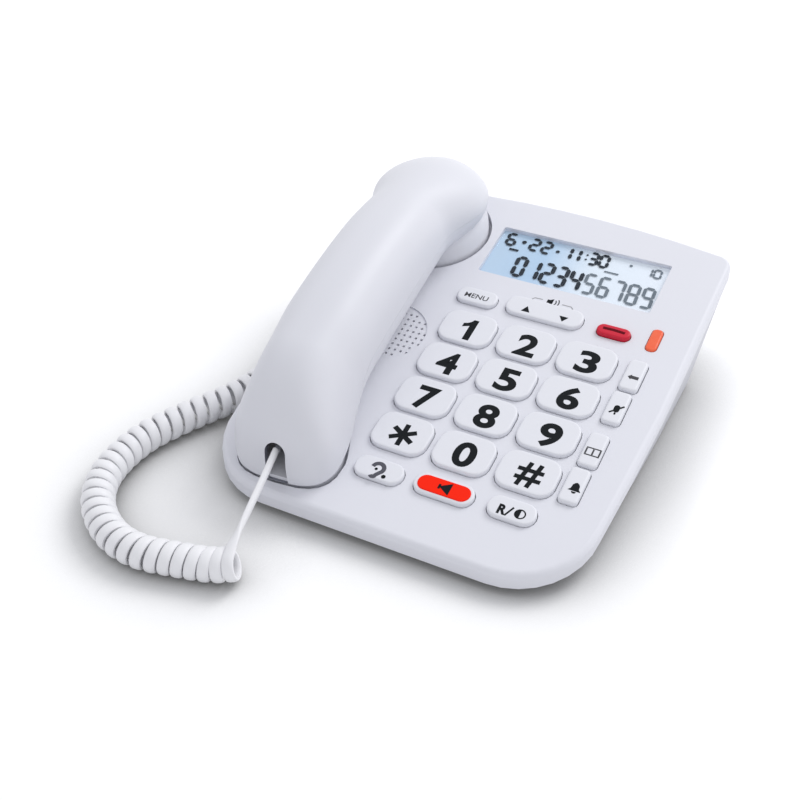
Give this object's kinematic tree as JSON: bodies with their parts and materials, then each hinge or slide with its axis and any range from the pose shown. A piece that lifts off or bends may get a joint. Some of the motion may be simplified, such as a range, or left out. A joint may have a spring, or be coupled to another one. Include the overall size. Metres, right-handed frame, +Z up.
{
  "type": "corded telephone",
  "caption": "Corded desk telephone with a tilted keypad base, a display, a lifting handset in two wells and a curly cord.",
  "frame": {"origin": "centre of the base's footprint on the table, at the undersides of the feet", "axes": "+X to the right across the keypad, +Y away from the user towards the display end, +Z up"},
  "size_m": [0.2144, 0.2629, 0.0857],
  "materials": {
    "shell": "satin white moulded case",
    "key_white": "satin white moulded key",
    "key_red": "satin crimson key",
    "inlay_red": "satin orange red inlay",
    "lamp_orange": "translucent orange lamp",
    "lens_clear": "clear window",
    "panel_blue": "liquid crystal cell with a blue light",
    "diffuser": "milky diffuser",
    "silicone": "grey silicone",
    "board_green": "green laminate",
    "dark_plastic": "black plastic",
    "grey_plastic": "grey plastic",
    "steel": "zinc plated",
    "weight_iron": "bare",
    "foot_rubber": "grey rubber",
    "battery_jacket": "printed sleeve",
    "cord_white": "satin white vinyl",
    "plug_clear": "clear to milky plug"
  },
  "bodies": {
    "base": {"upper_housing": "shell", "lower_housing": "shell", "display_lens": "lens_clear", "display_panel": "panel_blue", "display_backlight": "diffuser", "led_lens": "lamp_orange", "keypad_membrane": "silicone", "main_board": "board_green", "hook_spring": "steel", "hook_switch": "dark_plastic", "hook_board": "board_green", "loudspeaker": "dark_plastic", "base_microphone": "dark_plastic", "line_jack": "grey_plastic", "handset_jack": "grey_plastic", "feet": "foot_rubber", "case_screws": "steel", "batteries": "battery_jacket", "battery_contacts": "steel", "cord_lead_handset": "cord_white", "cord_coil": "cord_white", "cord_lead_base": "cord_white", "cord_plug_base": "plug_clear"},
    "handset": {"handset_back": "shell", "handset_front": "shell", "receiver": "dark_plastic", "handset_microphone": "dark_plastic", "handset_socket": "grey_plastic", "handset_weight": "weight_iron", "handset_screws": "steel", "cord_plug_handset": "plug_clear"},
    "hook_plunger": {"hook_plunger": "grey_plastic"},
    "battery_door": {"battery_door": "shell"},
    "key_rocker": {"key_rocker": "key_white"},
    "key_1": {"key_1": "key_white"},
    "key_2": {"key_2": "key_white"},
    "key_3": {"key_3": "key_white"},
    "key_4": {"key_4": "key_white"},
    "key_5": {"key_5": "key_white"},
    "key_6": {"key_6": "key_white"},
    "key_7": {"key_7": "key_white"},
    "key_8": {"key_8": "key_white"},
    "key_9": {"key_9": "key_white"},
    "key_star": {"key_star": "key_white"},
    "key_0": {"key_0": "key_white"},
    "key_hash": {"key_hash": "key_white"},
    "key_menu": {"key_menu": "key_white"},
    "key_side_1": {"key_side_1": "key_white"},
    "key_side_2": {"key_side_2": "key_white"},
    "key_side_3": {"key_side_3": "key_white"},
    "key_side_4": {"key_side_4": "key_white"},
    "key_boost": {"key_boost": "key_white"},
    "key_speaker": {"key_speaker": "key_white", "speaker_inlay": "inlay_red"},
    "key_recall": {"key_recall": "key_white"},
    "key_delete": {"key_delete": "key_red"}
  },
  "joints": [
    {"name": "handset_lift", "type": "slide", "parent": "base", "child": "handset", "axis": [0, 0, 1], "range_m": [0, 0.075]},
    {"name": "hook_plunger_rise", "type": "slide", "parent": "base", "child": "hook_plunger", "axis": [0, -0.2079, 0.9781], "range_m": [0, 0.004]},
    {"name": "battery_door_lift_off", "type": "slide", "parent": "base", "child": "battery_door", "axis": [0, 0, -1], "range_m": [0, 0.015]},
    {"name": "key_rocker_tilt", "type": "hinge", "parent": "base", "child": "key_rocker", "pos_m": [0.02, 0.03199, 0.03703], "axis": [0, 0.9781, 0.2079], "range_deg": [-3, 3], "stiffness_Nm_per_rad": 0.3},
    {"name": "key_1_press", "type": "slide", "parent": "base", "child": "key_1", "axis": [0, 0.2079, -0.9781], "range_m": [0, 0.0012], "stiffness_N_per_m": 700, "springref_m": -0.0004},
    {"name": "key_2_press", "type": "slide", "parent": "base", "child": "key_2", "axis": [0, 0.2079, -0.9781], "range_m": [0, 0.0012], "stiffness_N_per_m": 700, "springref_m": -0.0004},
    {"name": "key_3_press", "type": "slide", "parent": "base", "child": "key_3", "axis": [0, 0.2079, -0.9781], "range_m": [0, 0.0012], "stiffness_N_per_m": 700, "springref_m": -0.0004},
    {"name": "key_4_press", "type": "slide", "parent": "base", "child": "key_4", "axis": [0, 0.2079, -0.9781], "range_m": [0, 0.0012], "stiffness_N_per_m": 700, "springref_m": -0.0004},
    {"name": "key_5_press", "type": "slide", "parent": "base", "child": "key_5", "axis": [0, 0.2079, -0.9781], "range_m": [0, 0.0012], "stiffness_N_per_m": 700, "springref_m": -0.0004},
    {"name": "key_6_press", "type": "slide", "parent": "base", "child": "key_6", "axis": [0, 0.2079, -0.9781], "range_m": [0, 0.0012], "stiffness_N_per_m": 700, "springref_m": -0.0004},
    {"name": "key_7_press", "type": "slide", "parent": "base", "child": "key_7", "axis": [0, 0.2079, -0.9781], "range_m": [0, 0.0012], "stiffness_N_per_m": 700, "springref_m": -0.0004},
    {"name": "key_8_press", "type": "slide", "parent": "base", "child": "key_8", "axis": [0, 0.2079, -0.9781], "range_m": [0, 0.0012], "stiffness_N_per_m": 700, "springref_m": -0.0004},
    {"name": "key_9_press", "type": "slide", "parent": "base", "child": "key_9", "axis": [0, 0.2079, -0.9781], "range_m": [0, 0.0012], "stiffness_N_per_m": 700, "springref_m": -0.0004},
    {"name": "key_star_press", "type": "slide", "parent": "base", "child": "key_star", "axis": [0, 0.2079, -0.9781], "range_m": [0, 0.0012], "stiffness_N_per_m": 700, "springref_m": -0.0004},
    {"name": "key_0_press", "type": "slide", "parent": "base", "child": "key_0", "axis": [0, 0.2079, -0.9781], "range_m": [0, 0.0012], "stiffness_N_per_m": 700, "springref_m": -0.0004},
    {"name": "key_hash_press", "type": "slide", "parent": "base", "child": "key_hash", "axis": [0, 0.2079, -0.9781], "range_m": [0, 0.0012], "stiffness_N_per_m": 700, "springref_m": -0.0004},
    {"name": "key_menu_press", "type": "slide", "parent": "base", "child": "key_menu", "axis": [0, 0.2079, -0.9781], "range_m": [0, 0.0012], "stiffness_N_per_m": 700, "springref_m": -0.0004},
    {"name": "key_side_1_press", "type": "slide", "parent": "base", "child": "key_side_1", "axis": [0, 0.2079, -0.9781], "range_m": [0, 0.0012], "stiffness_N_per_m": 700, "springref_m": -0.0004},
    {"name": "key_side_2_press", "type": "slide", "parent": "base", "child": "key_side_2", "axis": [0, 0.2079, -0.9781], "range_m": [0, 0.0012], "stiffness_N_per_m": 700, "springref_m": -0.0004},
    {"name": "key_side_3_press", "type": "slide", "parent": "base", "child": "key_side_3", "axis": [0, 0.2079, -0.9781], "range_m": [0, 0.0012], "stiffness_N_per_m": 700, "springref_m": -0.0004},
    {"name": "key_side_4_press", "type": "slide", "parent": "base", "child": "key_side_4", "axis": [0, 0.2079, -0.9781], "range_m": [0, 0.0012], "stiffness_N_per_m": 700, "springref_m": -0.0004},
    {"name": "key_boost_press", "type": "slide", "parent": "base", "child": "key_boost", "axis": [0, 0.2079, -0.9781], "range_m": [0, 0.0012], "stiffness_N_per_m": 700, "springref_m": -0.0004},
    {"name": "key_speaker_press", "type": "slide", "parent": "base", "child": "key_speaker", "axis": [0, 0.2079, -0.9781], "range_m": [0, 0.0012], "stiffness_N_per_m": 700, "springref_m": -0.0004},
    {"name": "key_recall_press", "type": "slide", "parent": "base", "child": "key_recall", "axis": [0, 0.2079, -0.9781], "range_m": [0, 0.0012], "stiffness_N_per_m": 700, "springref_m": -0.0004},
    {"name": "key_delete_press", "type": "slide", "parent": "base", "child": "key_delete", "axis": [0, 0.2079, -0.9781], "range_m": [0, 0.0012], "stiffness_N_per_m": 700, "springref_m": -0.0004}
  ],
  "couplings": [
    {"joint": "hook_plunger_rise", "follows": "handset_lift", "ratio": 0.053}
  ]
}
